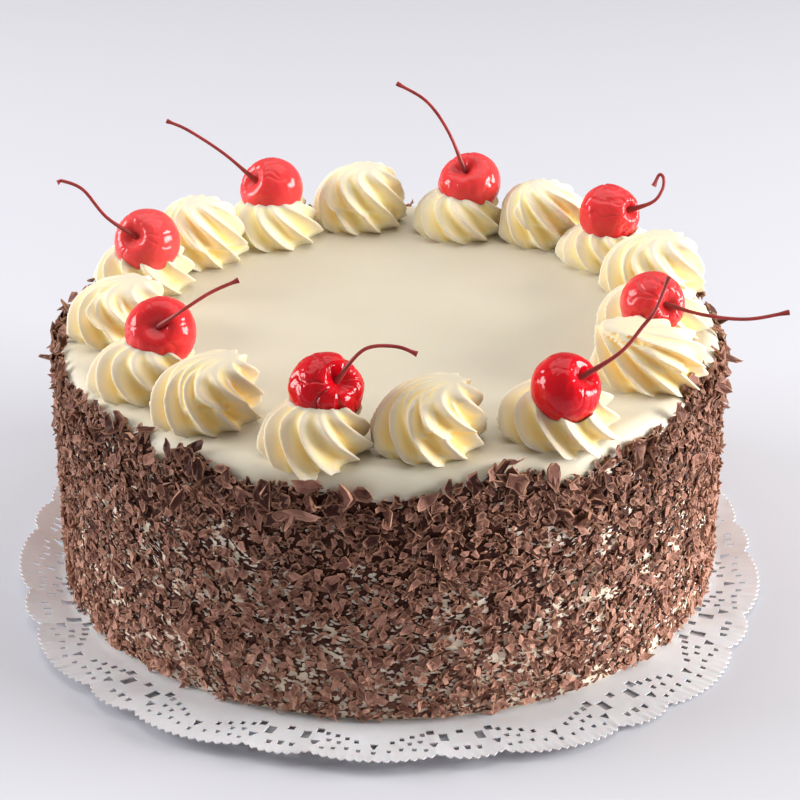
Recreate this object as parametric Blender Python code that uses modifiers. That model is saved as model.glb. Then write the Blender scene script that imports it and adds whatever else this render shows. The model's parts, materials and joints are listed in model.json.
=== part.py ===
"""Black forest cake on its paper doily.

A round layer cake stands on a scalloped paper doily. Cream covers its top and
shoulder, and a coat of chocolate shavings is pressed round its side. Sixteen
piped cream rosettes ring the top, and a stemmed cherry sits in every second
one. Axes: +Z up, the cake's own axis at X = Y = 0, the table at Z = 0, and
-Y is the front. Lengths are in metres, angles in degrees.
"""
import math
from typing import NamedTuple

import bmesh
import bpy
from mathutils import Vector

MM = 0.001
GAP = 0.3 * MM                      # clearance between pieces that touch

# The cake
CAKE_RADIUS = 115 * MM              # out to the faces of the shavings
CREAM_TOP = 89 * MM                 # height of the flat cream top
COAT_DEPTH = 3.5 * MM               # how thick the shavings lie on the side
COAT_INNER = CAKE_RADIUS - COAT_DEPTH
SHOULDER = 5 * MM                   # rounding of the cream's top edge
BODY_STEPS = 48
COAT_STEPS = 96
COAT_RIM = 90.5                     # mm, mean height of the shavings' upper edge
COAT_DIPS = (                       # where that edge sinks: angle, spread, depth in mm
    (-90, 9, 9), (-113, 6, 6), (-58, 9, 6), (-131, 5, 7), (20, 12, 3), (150, 15, 3))

# The doily
DOILY_REACH = (131.5 * MM, 136 * MM)    # to the large scallops, sideways and front to back
DOILY_CENTRE = (1.0 * MM, -7.0 * MM)
DOILY_FOLD = 117 * MM               # round the cake's axis: the sheet lies flat within
DOILY_SHEET = 0.4 * MM
DOILY_REPEATS = 13
DOILY_TURN = 5.65                   # angle of the middle of one small scallop
RIM_LIFT = 4.0                      # mm, how far the rim stands off the table
RIM_CURL = 1.2                      # mm, more on both sides and less at front and back
RIM_TILT = 2.4                      # mm, more at RIM_HIGH_SIDE and less across from it
RIM_HIGH_SIDE = -165
SMALL_SCALLOP = 1 / 3               # share of one repeat taken by its small scallop
NOTCH = 0.967                       # where two scallops meet, as a share of the radius
REPEAT_STEPS = 9                    # facets in one repeat, with a corner at each notch

# The rosettes
RIDGES = 11
RIDGE_DEPTH = 0.20                  # of the local radius
SWIRL_TWIST = 105                   # how far a ridge turns from base to crown
COIL_STEP = 0.12                    # how far the coil's outline winds inwards
SWIRL_RINGS = 5

# The cherries
CUP_CLEARANCE = 1.05                # cup in the cream over the cherry it holds
DIMPLE_WIDTH = 0.42                 # of the cherry's radius
DIMPLE_DEPTH = 0.30
STEM_RADIUS = 0.65 * MM
STEM_POINTS = 9


class Rosette(NamedTuple):
    """One swirl: its place on the ring, size, and where its coil starts."""
    angle: float
    ring: float
    width: float
    height: float
    start: float
    lean: tuple = (0.0, 0.0)


class Cherry(NamedTuple):
    """One cherry: its place, its size, the way its stem end faces, and the
    points that the stem passes through, from the cherry's centre, in mm."""
    angle: float
    ring: float
    lift: float
    width: float
    flatness: float
    azimuth: float
    elevation: float
    stem: tuple


ROSETTES = {
    1: Rosette(-103, 98, 37, 16, -95),
    2: Rosette(-82.5, 92, 38, 21, -75, (3, 0)),
    3: Rosette(-57, 97, 42, 14, -110),
    4: Rosette(-26.5, 95, 40, 20, -60, (-7, 1)),
    5: Rosette(-3.5, 89, 40, 15, -130),
    6: Rosette(17.5, 96, 39, 19, -100, (4, 0)),
    7: Rosette(35.5, 96, 38, 15, -70),
    8: Rosette(54, 97, 35, 21, -120, (-1, 0)),
    9: Rosette(73, 89, 36, 15, -85),
    10: Rosette(97, 95, 36.5, 22, -125, (2, 0)),
    11: Rosette(119, 89, 38, 15, -60),
    12: Rosette(139, 91, 35, 22, -90, (0, 0)),
    13: Rosette(159, 93, 38, 14, -70),
    14: Rosette(-175, 91, 38, 18, -110, (5, 0)),
    15: Rosette(-147.5, 93, 38, 14, -85),
    16: Rosette(-128.5, 92, 37, 19, -75, (5, 0)),
}

CHERRIES = {
    1: Cherry(-102, 91.5, 17, 24, 0.92, -51, 42,
              ((9, -4, 13), (14, -3, 16), (22, -3, 16), (28, -4, 14))),
    3: Cherry(-58, 104, 17, 22.5, 0.95, -35, 44,
              ((16, -2, 13), (23, 2, 20), (27, 4, 25), (31, 8, 34))),
    5: Cherry(-14.5, 90.5, 17, 21.5, 1.05, -60, 18,
              ((16, -11, 0.5), (30, -11, -1), (44, -10, 1))),
    7: Cherry(35.5, 98, 17, 22.5, 0.98, -43, 24,
              ((14, -6, 7), (17.5, -4, 11), (18, -2, 14.5), (16.5, -1, 15.5), (14.5, -3, 12))),
    9: Cherry(71.5, 93, 17, 23.5, 0.88, -127, 61,
              ((-8, 0, 20), (-16, 5, 30), (-27, 8, 36))),
    11: Cherry(118, 93, 17, 23.5, 0.98, -150, 33,
               ((-17, -2, 14.5), (-30, 2, 22), (-38, 4, 25))),
    13: Cherry(160, 90.5, 17, 23.5, 0.96, -120, 32,
               ((-13, -7, 12), (-21, -3, 20.5), (-28, -1, 23), (-30, -1, 22.5))),
    15: Cherry(-148, 87, 17, 23.5, 0.95, -95, 37,
               ((8, -9, 11.5), (17, -6, 16.5), (26, -4, 20))),
}

COLOURS = {                         # name: (base colour, roughness)
    "cream": ((0.86, 0.78, 0.56), 0.45),
    "chocolate": ((0.10, 0.045, 0.032), 0.55),
    "cherry": ((0.62, 0.01, 0.015), 0.12),
    "stem": ((0.28, 0.035, 0.03), 0.4),
    "paper": ((0.86, 0.86, 0.87), 0.8),
}


def polar(radius, degrees):
    """A point on the ground plane, by its distance and direction."""
    a = math.radians(degrees)
    return Vector((radius * math.cos(a), radius * math.sin(a), 0.0))


def clear_scene():
    for obj in list(bpy.data.objects):
        bpy.data.objects.remove(obj)


def new_collection(name):
    group = bpy.data.collections.new(name)
    bpy.context.scene.collection.children.link(group)
    return group


def finish_material(name):
    colour, roughness = COLOURS[name]
    material = bpy.data.materials.new(name)
    material.use_nodes = True
    shader = material.node_tree.nodes["Principled BSDF"]
    shader.inputs["Base Color"].default_value = (*colour, 1.0)
    shader.inputs["Roughness"].default_value = roughness
    return material


def turned(profile, steps):
    """A bmesh made by spinning a profile of (radius, height) points about Z."""
    bm = bmesh.new()
    points = [bm.verts.new((r, 0.0, z)) for r, z in profile]
    edges = [bm.edges.new(pair) for pair in zip(points, points[1:])]
    bmesh.ops.spin(bm, geom=points + edges, axis=(0, 0, 1), cent=(0, 0, 0),
                   angle=math.tau, steps=steps, use_merge=True)
    bmesh.ops.remove_doubles(bm, verts=bm.verts[:], dist=0.001 * MM)
    return bm


def reshape(bm, rule):
    """Moves every vertex to where the rule puts it."""
    for vertex in bm.verts:
        vertex.co = rule(vertex.co)


def place(name, bm, group, material, location=(0, 0, 0), sharp_angle=40):
    """Turns a bmesh into a named object with outward faces."""
    bmesh.ops.recalc_face_normals(bm, faces=bm.faces[:])
    mesh = bpy.data.meshes.new(name)
    bm.to_mesh(mesh)
    bm.free()
    mesh.shade_smooth()
    mesh.set_sharp_from_angle(angle=math.radians(sharp_angle))
    mesh.materials.append(material)
    obj = bpy.data.objects.new(name, mesh)
    obj.location = location
    group.objects.link(obj)
    return obj


# --- doily -------------------------------------------------------------------

def scallop(degrees):
    """The doily's outline at an angle, as a share of its radius. Each repeat
    has one large scallop and one small one, which stands further in."""
    turn = (degrees - DOILY_TURN) / 360 * DOILY_REPEATS
    off = abs((turn + 0.5) % 1.0 - 0.5)
    if off < SMALL_SCALLOP / 2:
        return NOTCH + 0.025 * math.sqrt(math.cos(math.pi * off / SMALL_SCALLOP))
    along = (off - SMALL_SCALLOP / 2) / (1 - SMALL_SCALLOP)
    return NOTCH + (1 - NOTCH) * math.sqrt(max(0.0, math.sin(math.pi * along)))


def rim_height(degrees):
    """How far the free rim stands off the table at an angle."""
    curl = RIM_CURL * math.cos(math.radians(2 * degrees))
    tilt = RIM_TILT * math.cos(math.radians(degrees - RIM_HIGH_SIDE))
    wave = 0.3 * math.sin(math.radians(5 * degrees))
    return (RIM_LIFT + curl + tilt + wave) * MM


def doily_rule(co):
    """Puts the fold just outside the cake's foot, and the rim on its scallops."""
    half_step = 180 / (DOILY_REPEATS * REPEAT_STEPS)
    degrees = math.degrees(math.atan2(co.y, co.x)) + DOILY_TURN + half_step
    ring = round(math.hypot(co.x, co.y))
    if ring == 0:
        return co
    if ring == 1:
        return polar(DOILY_FOLD, degrees) - Vector((*DOILY_CENTRE, 0))
    reach = polar(scallop(degrees), degrees)
    return Vector((reach.x * DOILY_REACH[0], reach.y * DOILY_REACH[1], rim_height(degrees)))


def make_doily(group, material):
    bm = turned([(0.0, 0.0), (1.0, 0.0), (2.0, 0.0)], DOILY_REPEATS * REPEAT_STEPS)
    reshape(bm, doily_rule)
    doily = place("doily", bm, group, material, (*DOILY_CENTRE, 0.0))
    sheet = doily.modifiers.new("sheet", "SOLIDIFY")
    sheet.thickness = DOILY_SHEET
    sheet.offset = -1.0             # the open sheet faces down, so it thickens upwards
    return doily


# --- cake body and its coat of shavings --------------------------------------

def make_body(group, material):
    """The cream-covered cake as one solid, with a rounded shoulder."""
    radius = COAT_INNER - GAP
    base = DOILY_SHEET + GAP
    profile = [(0.0, base), (radius, base)]
    for step in range(4):
        a = math.radians(90 * step / 3)
        profile.append((radius - SHOULDER * (1 - math.cos(a)),
                        CREAM_TOP - SHOULDER * (1 - math.sin(a))))
    profile.append((0.0, CREAM_TOP))
    return place("cake_body", turned(profile, BODY_STEPS), group, material)


def under_rosette(degrees):
    """Whether a rosette reaches out over the coat at this angle."""
    for piece in ROSETTES.values():
        offset = math.radians(degrees - piece.angle)
        ahead = piece.ring * math.cos(offset)
        aside = piece.ring * math.sin(offset)
        half = piece.width / 2 * (1 + COIL_STEP / 2) + 1
        if ahead > 0 and abs(aside) < half:
            if ahead + math.sqrt(half ** 2 - aside ** 2) > COAT_INNER / MM:
                return True
    return False


def coat_top(degrees):
    """Height of the coat's ragged upper edge."""
    a = math.radians(degrees)
    rise = 1.7 * math.sin(31 * a + 0.6) + 1.6 * math.sin(43 * a) + 1.3 * math.sin(11 * a + 1.0)
    for middle, spread, depth in COAT_DIPS:
        away = (degrees - middle + 180) % 360 - 180
        rise -= depth * math.exp(-(away / spread) ** 2)
    top = (COAT_RIM + rise) * MM
    return min(top, CREAM_TOP - GAP) if under_rosette(degrees) else top


def coat_face(co, degrees):
    """How far the coat's uneven face stands in or out at a point, whose Z
    runs from 0 at the foot to 1 at the rim."""
    a = math.radians(degrees)
    lumps = math.sin(29 * a + 9 * co.z) * math.sin(41 * a - 7 * co.z)
    return (1.3 * lumps - 1.0 * co.z ** 8) * MM


def make_coat(group, material):
    """The shavings as one ring with an uneven face and a ragged upper edge."""
    base = DOILY_SHEET + GAP
    profile = [(COAT_INNER, 1.0), (COAT_INNER, 0.0)]
    profile += [(CAKE_RADIUS, share) for share in (0.0, 0.35, 0.7, 0.97)]
    profile.append(profile[0])
    bm = turned(profile, COAT_STEPS)

    def rule(co):
        degrees = math.degrees(math.atan2(co.y, co.x))
        radius = math.hypot(co.x, co.y)
        if radius > COAT_INNER + COAT_DEPTH / 2:
            radius += coat_face(co, degrees)
        height = base + co.z * (coat_top(degrees) - base)
        return polar(radius, degrees) + Vector((0, 0, height))

    reshape(bm, rule)
    return place("shaving_coat", bm, group, material)


# --- rosettes ----------------------------------------------------------------

def centre_of(piece):
    return polar(piece.ring * MM, piece.angle)


def neighbours(number):
    """The rosettes on each side in the ring."""
    count = len(ROSETTES)
    return [(number - 2) % count + 1, number % count + 1]


def make_rosette(number, group, material):
    """A star-piped swirl. Its columns of vertices are crests and valleys in
    turn, and they wind round as they rise. Where two rosettes press together
    both are flattened at the plane between them."""
    piece = ROSETTES[number]
    radius = piece.width / 2 * MM
    height = piece.height * MM
    columns = RIDGES * 2
    profile = [(0.0, 0.0), (0.9, 0.0)]
    for ring in range(SWIRL_RINGS + 1):
        a = math.radians(8 + 82 * ring / SWIRL_RINGS)
        profile.append((math.cos(a) ** 0.85 if ring < SWIRL_RINGS else 0.0, math.sin(a)))
    bm = turned(profile, columns)
    centre = centre_of(piece)
    contacts = []
    for other in neighbours(number):
        away = centre_of(ROSETTES[other]) - centre
        share = piece.width / (piece.width + ROSETTES[other].width)
        contacts.append((away.normalized(), away.length * share - GAP))

    def rule(co):
        around = math.degrees(math.atan2(co.y, co.x)) % 360
        column = round(around / 360 * columns) % columns
        valley = RIDGE_DEPTH if column % 2 and co.z > 0.01 else 0.0
        wound = COIL_STEP * (column / columns - 0.5) * (1 - co.z)
        reach = math.hypot(co.x, co.y) * radius * (1 - valley) * (1 + wound)
        spot = polar(reach, around + piece.start - SWIRL_TWIST * co.z)
        spot += Vector((*piece.lean, 0)) * MM * co.z ** 2
        for direction, limit in contacts:
            excess = spot.dot(direction) - limit
            if excess > 0:
                spot -= direction * excess
        spot.z = co.z * height
        return spot

    reshape(bm, rule)
    return place(f"rosette_{number:02d}", bm, group, material,
                 centre + Vector((0, 0, CREAM_TOP + GAP)), sharp_angle=30)


# --- cherries and stems ------------------------------------------------------

def cherry_centre(cherry):
    return centre_of(cherry) + Vector((0, 0, CREAM_TOP + cherry.lift * MM))


def stem_end(cherry):
    """The direction from the cherry's centre out through its dimple."""
    level = polar(math.cos(math.radians(cherry.elevation)), cherry.azimuth)
    return level + Vector((0, 0, math.sin(math.radians(cherry.elevation))))


def cherry_mesh(cherry, scale=1.0):
    """A ball, a little flat from pole to pole, with a dimple at the stem."""
    bm = bmesh.new()
    bmesh.ops.create_uvsphere(bm, u_segments=12, v_segments=8, radius=1.0)
    radius = cherry.width / 2 * MM * scale

    def rule(co):
        away = math.hypot(co.x, co.y) / DIMPLE_WIDTH
        dimple = DIMPLE_DEPTH * math.exp(-away ** 2) if co.z > 0 else 0.0
        return Vector((co.x, co.y, co.z * cherry.flatness - dimple)) * radius

    reshape(bm, rule)
    turn = stem_end(cherry).to_track_quat("Z", "Y")
    bmesh.ops.rotate(bm, verts=bm.verts[:], cent=(0, 0, 0), matrix=turn.to_matrix())
    return bm


def make_cherry(number, group, material):
    cherry = CHERRIES[number]
    return place(f"cherry_{number:02d}", cherry_mesh(cherry), group, material, cherry_centre(cherry))


def cut_cup(number, rosettes, cutters):
    """Cuts the hollow that a cherry presses into the rosettes it rests on."""
    cherry = CHERRIES[number]
    bm = cherry_mesh(cherry, CUP_CLEARANCE)
    bmesh.ops.recalc_face_normals(bm, faces=bm.faces[:])
    mesh = bpy.data.meshes.new(f"cup_{number:02d}")
    bm.to_mesh(mesh)
    bm.free()
    cutter = bpy.data.objects.new(mesh.name, mesh)
    cutter.location = cherry_centre(cherry)
    cutter.hide_render = True
    cutter.display_type = "WIRE"
    cutters.objects.link(cutter)
    for other, rosette in rosettes.items():
        apart = (centre_of(cherry) - centre_of(ROSETTES[other])).length
        if apart < (cherry.width + ROSETTES[other].width) / 2 * MM:
            cut = rosette.modifiers.new(mesh.name, "BOOLEAN")
            cut.operation = "DIFFERENCE"
            cut.object = cutter


def smooth_path(knots, count):
    """Points along a Catmull-Rom curve through the knots."""
    ends = [2 * knots[0] - knots[1]] + list(knots) + [2 * knots[-1] - knots[-2]]
    spans = len(knots) - 1
    points = []
    for index in range(count):
        along = index / (count - 1) * spans
        span = min(int(along), spans - 1)
        t = along - span
        a, b, c, d = ends[span:span + 4]
        points.append(0.5 * (2 * b + (c - a) * t + (2 * a - 5 * b + 4 * c - d) * t ** 2
                             + (3 * b - a - 3 * c + d) * t ** 3))
    return points


def make_stem(number, group, material):
    """A thin stalk from the dimple, thicker at its root and flared at its tip."""
    cherry = CHERRIES[number]
    floor = (cherry.flatness - DIMPLE_DEPTH) * cherry.width / 2
    root = stem_end(cherry) * (floor * MM + STEM_RADIUS + GAP)
    knots = [root] + [Vector(point) * MM for point in cherry.stem]
    curve = bpy.data.curves.new(f"stem_{number:02d}", "CURVE")
    curve.dimensions = "3D"
    curve.bevel_depth = STEM_RADIUS
    curve.bevel_resolution = 1
    curve.use_fill_caps = True
    spline = curve.splines.new("POLY")
    spline.points.add(STEM_POINTS - 1)
    for index, spot in enumerate(smooth_path(knots, STEM_POINTS)):
        spline.points[index].co = (*spot, 1.0)
    spline.points[0].radius = 1.3
    spline.points[STEM_POINTS - 1].radius = 1.6
    curve.materials.append(material)
    stem = bpy.data.objects.new(curve.name, curve)
    stem.location = cherry_centre(cherry)
    group.objects.link(stem)
    return stem


def main():
    clear_scene()
    parts = new_collection("black_forest_cake")
    cutters = new_collection("cutters")
    finish = {name: finish_material(name) for name in COLOURS}
    make_doily(parts, finish["paper"])
    make_body(parts, finish["cream"])
    make_coat(parts, finish["chocolate"])
    rosettes = {number: make_rosette(number, parts, finish["cream"]) for number in ROSETTES}
    for number in CHERRIES:
        make_cherry(number, parts, finish["cherry"])
        make_stem(number, parts, finish["stem"])
        cut_cup(number, rosettes, cutters)


main()
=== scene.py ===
import json
import math
import numpy as np
import random

import bmesh
import bpy
from mathutils import Matrix, Vector, noise

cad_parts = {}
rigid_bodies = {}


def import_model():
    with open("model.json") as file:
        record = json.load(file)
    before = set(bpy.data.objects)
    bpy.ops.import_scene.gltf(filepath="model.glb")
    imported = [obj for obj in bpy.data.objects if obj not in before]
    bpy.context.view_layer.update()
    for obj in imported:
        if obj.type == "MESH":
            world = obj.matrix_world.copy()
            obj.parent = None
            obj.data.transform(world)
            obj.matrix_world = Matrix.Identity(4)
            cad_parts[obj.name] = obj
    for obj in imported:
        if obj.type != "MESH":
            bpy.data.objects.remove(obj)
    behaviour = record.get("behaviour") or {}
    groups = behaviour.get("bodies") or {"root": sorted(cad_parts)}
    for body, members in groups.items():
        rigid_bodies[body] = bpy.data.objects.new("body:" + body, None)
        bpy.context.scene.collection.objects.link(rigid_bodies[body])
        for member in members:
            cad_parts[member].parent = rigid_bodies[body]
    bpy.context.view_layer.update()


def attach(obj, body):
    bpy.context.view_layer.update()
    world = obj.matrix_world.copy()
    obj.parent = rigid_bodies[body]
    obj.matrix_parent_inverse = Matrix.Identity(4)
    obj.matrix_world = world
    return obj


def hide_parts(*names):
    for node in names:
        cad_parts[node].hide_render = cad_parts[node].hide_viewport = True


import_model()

# ---------------------------------------------------------------------------
# The view. The cake stands on a plain pale table and is looked at from the
# front and a little above, with a long lens. Large soft lights stand behind
# it on both sides, so its front is the shaded side.

MM = 0.001
scene = bpy.context.scene
scene.view_settings.view_transform = "Standard"


def shader(name, **values):
    """A new material, its shader and its node tree."""
    material = bpy.data.materials.new(name)
    material.use_nodes = True
    surface = material.node_tree.nodes["Principled BSDF"]
    for socket, value in values.items():
        surface.inputs[socket.replace("_", " ")].default_value = value
    return material, surface, material.node_tree


def place(tree, kind, settings=None, **values):
    """A new node, its settings and the values of its sockets."""
    made = tree.nodes.new(kind)
    for key, value in (settings or {}).items():
        setattr(made, key, value)
    for socket, value in values.items():
        made.inputs[socket.replace("_", " ")].default_value = value
    return made


def ramp(tree, factor, *stops):
    """Colours that follow a factor, each stop a place and a colour."""
    made = tree.nodes.new("ShaderNodeValToRGB")
    band = made.color_ramp
    while len(band.elements) < len(stops):
        band.elements.new(0.5)
    for element, (where, colour) in zip(band.elements, stops):
        element.position = where
        element.color = (*colour, 1)
    tree.links.new(factor, made.inputs["Fac"])
    return made.outputs["Color"]


def grain(tree, scale, detail=4, roughness=0.6, stretch=(1, 1, 1)):
    """A noise pattern fixed to the piece."""
    where = place(tree, "ShaderNodeTexCoord").outputs["Object"]
    if stretch != (1, 1, 1):
        mapping = place(tree, "ShaderNodeMapping", Scale=stretch)
        tree.links.new(where, mapping.inputs["Vector"])
        where = mapping.outputs["Vector"]
    made = place(tree, "ShaderNodeTexNoise", Scale=scale, Detail=detail, Roughness=roughness)
    tree.links.new(where, made.inputs["Vector"])
    return made.outputs["Fac"]


def relief(tree, surface, height, distance, strength=1.0, under=None):
    """Fine relief in the finish."""
    made = place(tree, "ShaderNodeBump", Strength=strength, Distance=distance)
    tree.links.new(height, made.inputs["Height"])
    if under:
        tree.links.new(under, made.inputs["Normal"])
    tree.links.new(made.outputs["Normal"], surface.inputs["Normal"])
    return made.outputs["Normal"]


def soft_light(name, at, towards, size, power, colour=(1, 1, 1)):
    lamp = bpy.data.lights.new(name, "AREA")
    lamp.shape = "RECTANGLE"
    lamp.size, lamp.size_y = size
    lamp.energy = power
    lamp.color = colour
    holder = bpy.data.objects.new(name, lamp)
    holder.location = at
    holder.rotation_euler = (Vector(towards) - Vector(at)).to_track_quat("-Z", "Y").to_euler()
    scene.collection.objects.link(holder)


lens = bpy.data.cameras.new("camera")
lens.lens = 115.5
lens.sensor_width = 36
lens.clip_end = 20
camera = bpy.data.objects.new("camera", lens)
camera.location = (0.0037, -0.8041, 0.4486)
camera.rotation_euler = (math.radians(64.16), 0, 0)
scene.collection.objects.link(camera)
scene.camera = camera

soft_light("window_right", (1.40, -0.10, 0.32), (0, 0, 0.05), (0.9, 0.8), 50.0, (1.0, 0.985, 0.96))
soft_light("window_left", (-1.30, 0.15, 0.46), (0, 0, 0.05), (0.8, 0.7), 22.0, (1.0, 0.985, 0.99))
soft_light("overhead", (0.0, 0.30, 1.10), (0, 0.1, 0.0), (1.5, 1.1), 8.0)

room = bpy.data.worlds.new("room")
room.use_nodes = True
room.node_tree.nodes["Background"].inputs["Color"].default_value = (0.92, 0.89, 0.86, 1)
room.node_tree.nodes["Background"].inputs["Strength"].default_value = 0.35
scene.world = room

table_finish, _, table_tree = shader("table_white", Base_Color=(0.56, 0.565, 0.61, 1), Roughness=0.6)
bm = bmesh.new()
bmesh.ops.create_grid(bm, x_segments=1, y_segments=1, size=4.0)
table_mesh = bpy.data.meshes.new("floor")
bm.to_mesh(table_mesh)
bm.free()
table_mesh.transform(Matrix.Translation((0, 0, -0.4 * MM)))
table_mesh.materials.append(table_finish)
table = bpy.data.objects.new("floor", table_mesh)
scene.collection.objects.link(table)

# ---------------------------------------------------------------------------
# The doily. A sheet of white lace paper, punched and embossed in thirteen
# repeats with a bead along its scalloped edge. It lies flat under the cake
# and its rim curls up a few millimetres, more on the left.

DOILY_CENTRE = (0.0, -7.0)
DOILY_REACH = (130.0, 135.8)
DOILY_FOLD = 117.0
PAPER = 0.4
REPEATS = 13
FIRST_REPEAT = 4.8
SMALL_SCALLOP = 1 / 3
NOTCH = 0.967
BEADS = 22


def new_object(name, mesh, material=None, smooth=True):
    made = bpy.data.objects.new(name, mesh)
    scene.collection.objects.link(made)
    if material:
        mesh.materials.clear()
        mesh.materials.append(material)
    if smooth:
        mesh.shade_smooth()
    return made


def plain_mesh(obj):
    """The object's evaluated mesh, with its modifiers applied and removed."""
    depsgraph = bpy.context.evaluated_depsgraph_get()
    made = bpy.data.meshes.new_from_object(obj.evaluated_get(depsgraph))
    obj.modifiers.clear()
    obj.data = made
    return obj


def new_tree(name, **sockets):
    """An empty node tree for geometry with these inputs."""
    tree = bpy.data.node_groups.new(name, "GeometryNodeTree")
    tree.interface.new_socket("Geometry", in_out="INPUT", socket_type="NodeSocketGeometry")
    tree.interface.new_socket("Geometry", in_out="OUTPUT", socket_type="NodeSocketGeometry")
    for label, kind in sockets.items():
        tree.interface.new_socket(label.replace("_", " "), in_out="INPUT", socket_type=kind)
    return tree, tree.nodes.new("NodeGroupInput"), tree.nodes.new("NodeGroupOutput")


def run_tree(obj, tree, **values):
    """Run the tree on the object and keep the result as its mesh."""
    modifier = obj.modifiers.new(tree.name, "NODES")
    modifier.node_group = tree
    names = {item.name: item.identifier for item in tree.interface.items_tree if item.in_out == "INPUT"}
    for label, value in values.items():
        modifier[names[label.replace("_", " ")]] = value
    return plain_mesh(obj)


def rim(offset):
    """The outline's share of the full radius, offset from a small scallop's middle, in repeats."""
    offset = abs((offset + 0.5) % 1 - 0.5)
    half = SMALL_SCALLOP / 2
    if offset < half:
        return NOTCH + 0.025 * math.sqrt(max(0, math.cos(math.pi / 2 * offset / half)))
    return NOTCH + (1 - NOTCH) * math.sqrt(max(0, math.sin(math.pi * (offset - half) / (1 - SMALL_SCALLOP))))


def rim_height(azimuth):
    return 3.2 - 2.0 * math.cos(azimuth) + 1.5 * math.cos(4 * azimuth) + 0.3 * math.sin(5 * azimuth)


paper_finish, paper_surface, paper_tree = shader(
    "lace_paper", Base_Color=(0.84, 0.84, 0.86, 1), Roughness=0.78, Subsurface_Weight=0.15,
    Subsurface_Scale=1.5 * MM)
# The sheet is painted a shade greyer towards its front than further back, as painted shade; the fine mottle is the
# paper's own tone.
stain = grain(paper_tree, 55, 3, 0.5)
white = ramp(paper_tree, stain, (0.30, (0.67, 0.665, 0.68)), (0.42, (0.735, 0.74, 0.77)), (0.75, (0.775, 0.78, 0.81)))
paper_front_shade = ramp(paper_tree, stain, (0.30, (0.50, 0.495, 0.51)), (0.42, (0.55, 0.55, 0.57)), (0.75, (0.585, 0.585, 0.61)))
paper_place = place(paper_tree, "ShaderNodeSeparateXYZ")
paper_tree.links.new(place(paper_tree, "ShaderNodeTexCoord").outputs["Object"], paper_place.inputs[0])
paper_back = place(paper_tree, "ShaderNodeMapRange", From_Min=-140 * MM, From_Max=-70 * MM)
paper_tree.links.new(paper_place.outputs["Y"], paper_back.inputs["Value"])
paper_mix = place(paper_tree, "ShaderNodeMix", {"data_type": "RGBA"})
for source, socket in ((paper_back.outputs[0], 0), (paper_front_shade, 6), (white, 7)):
    paper_tree.links.new(source, paper_mix.inputs[socket])
paper_tree.links.new(paper_mix.outputs[2], paper_surface.inputs["Base Color"])
relief(paper_tree, paper_surface, grain(paper_tree, 1400, 3), 0.05 * MM, 0.5)

# one repeat's punches: (offset in repeats, distance from the centre, width, length, tip width) in mm
punches = []
for side in (-1, 1):
    punches += [(side * 0.105, 119.0, 3.0, 5.6, 1.0),
                (side * 0.175, 115.0, 2.6, 3.4, 1.0),
                (side * 0.225, 116.6, 1.7, 2.6, 1.0), (side * 0.285, 117.8, 1.7, 2.4, 1.0),
                (side * 0.345, 119.6, 1.6, 2.4, 1.0), (side * 0.40, 121.8, 1.6, 2.4, 1.0),
                (side * 0.245, 121.8, 2.2, 2.2, 0.5), (side * 0.305, 123.0, 1.8, 2.2, 0.6),
                (side * 0.175, 124.6, 3.4, 3.4, 0.25),
                (side * 0.355, 127.2, 1.8, 2.2, 0.6), (side * 0.285, 127.6, 1.8, 2.0, 0.7),
                (side * 0.225, 128.2, 1.8, 1.8, 0.7),
                (side * 0.062, 127.6, 2.2, 2.6, 0.6),
                (side * 0.42, 128.6, 1.6, 2.0, 0.7)]
punches += [(0, 127.2, 2.4, 3.0, 0.6), (0.5, 125.2, 3.0, 3.8, 0.2), (0.5, 129.8, 1.8, 2.2, 0.7),
            (0, 115.2, 2.4, 2.8, 1.0)]
bm = bmesh.new()
for offset, distance, width, length, tip in punches:
    turn = offset * 2 * math.pi / REPEATS
    out = Vector((math.cos(turn), math.sin(turn), 0))
    across = Vector((-out.y, out.x, 0))
    middle = out * distance
    outline = [middle - out * length / 2 - across * width / 2, middle - out * length / 2 + across * width / 2,
               middle + out * length / 2 + across * width * tip / 2,
               middle + out * length / 2 - across * width * tip / 2]
    low = [bm.verts.new((p + Vector((0, 0, -2))) * MM) for p in outline]
    high = [bm.verts.new((p + Vector((0, 0, 2))) * MM) for p in outline]
    bm.faces.new(low[::-1])
    bm.faces.new(high)
    for i in range(4):
        k = (i + 1) % 4
        bm.faces.new((low[i], low[k], high[k], high[i]))
bmesh.ops.recalc_face_normals(bm, faces=bm.faces[:])
punch_mesh = bpy.data.meshes.new("punches")
bm.to_mesh(punch_mesh)
bm.free()
punch_set = new_object("punches", punch_mesh, smooth=False)

# the sheet itself, still flat, with a beaded edge
columns = REPEATS * BEADS * 4
rows = [0.0, 55.0, 100.0, 108.0, 112.0, 114.0, 116.0, 118.0, 120.0, 122.0, 124.0, 126.0, 128.0, 129.6, 131.2]
bm = bmesh.new()
layers = []
for height in (0.0, PAPER):
    rings = [[bm.verts.new((0, 0, height * MM))]]
    for ring in list(rows[1:]) + ["edge"]:
        line = []
        for column in range(columns):
            turn = 2 * math.pi * column / columns
            offset = REPEATS * column / columns
            if ring == "edge":
                bead = abs(math.sin(math.pi * BEADS * offset))
                distance = 136.0 * rim(offset) - 0.9 + 0.9 * bead
            else:
                distance = min(ring, 136.0 * rim(offset) - 1.2 - 0.35 * (rows[-1] - ring) * 0.5)
                distance = min(distance, ring)
            line.append(bm.verts.new((distance * math.cos(turn) * MM, distance * math.sin(turn) * MM, height * MM)))
        rings.append(line)
    layers.append(rings)
for level, rings in enumerate(layers):
    for inner, outer in zip(rings[:-1], rings[1:]):
        for i in range(columns):
            k = (i + 1) % columns
            corners = [inner[0], outer[i], outer[k]] if len(inner) == 1 else [inner[i], outer[i], outer[k], inner[k]]
            bm.faces.new(corners if level else corners[::-1])
for i in range(columns):
    k = (i + 1) % columns
    bm.faces.new((layers[0][-1][i], layers[0][-1][k], layers[1][-1][k], layers[1][-1][i]))
lace_mesh = bpy.data.meshes.new("doily_lace")
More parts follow.
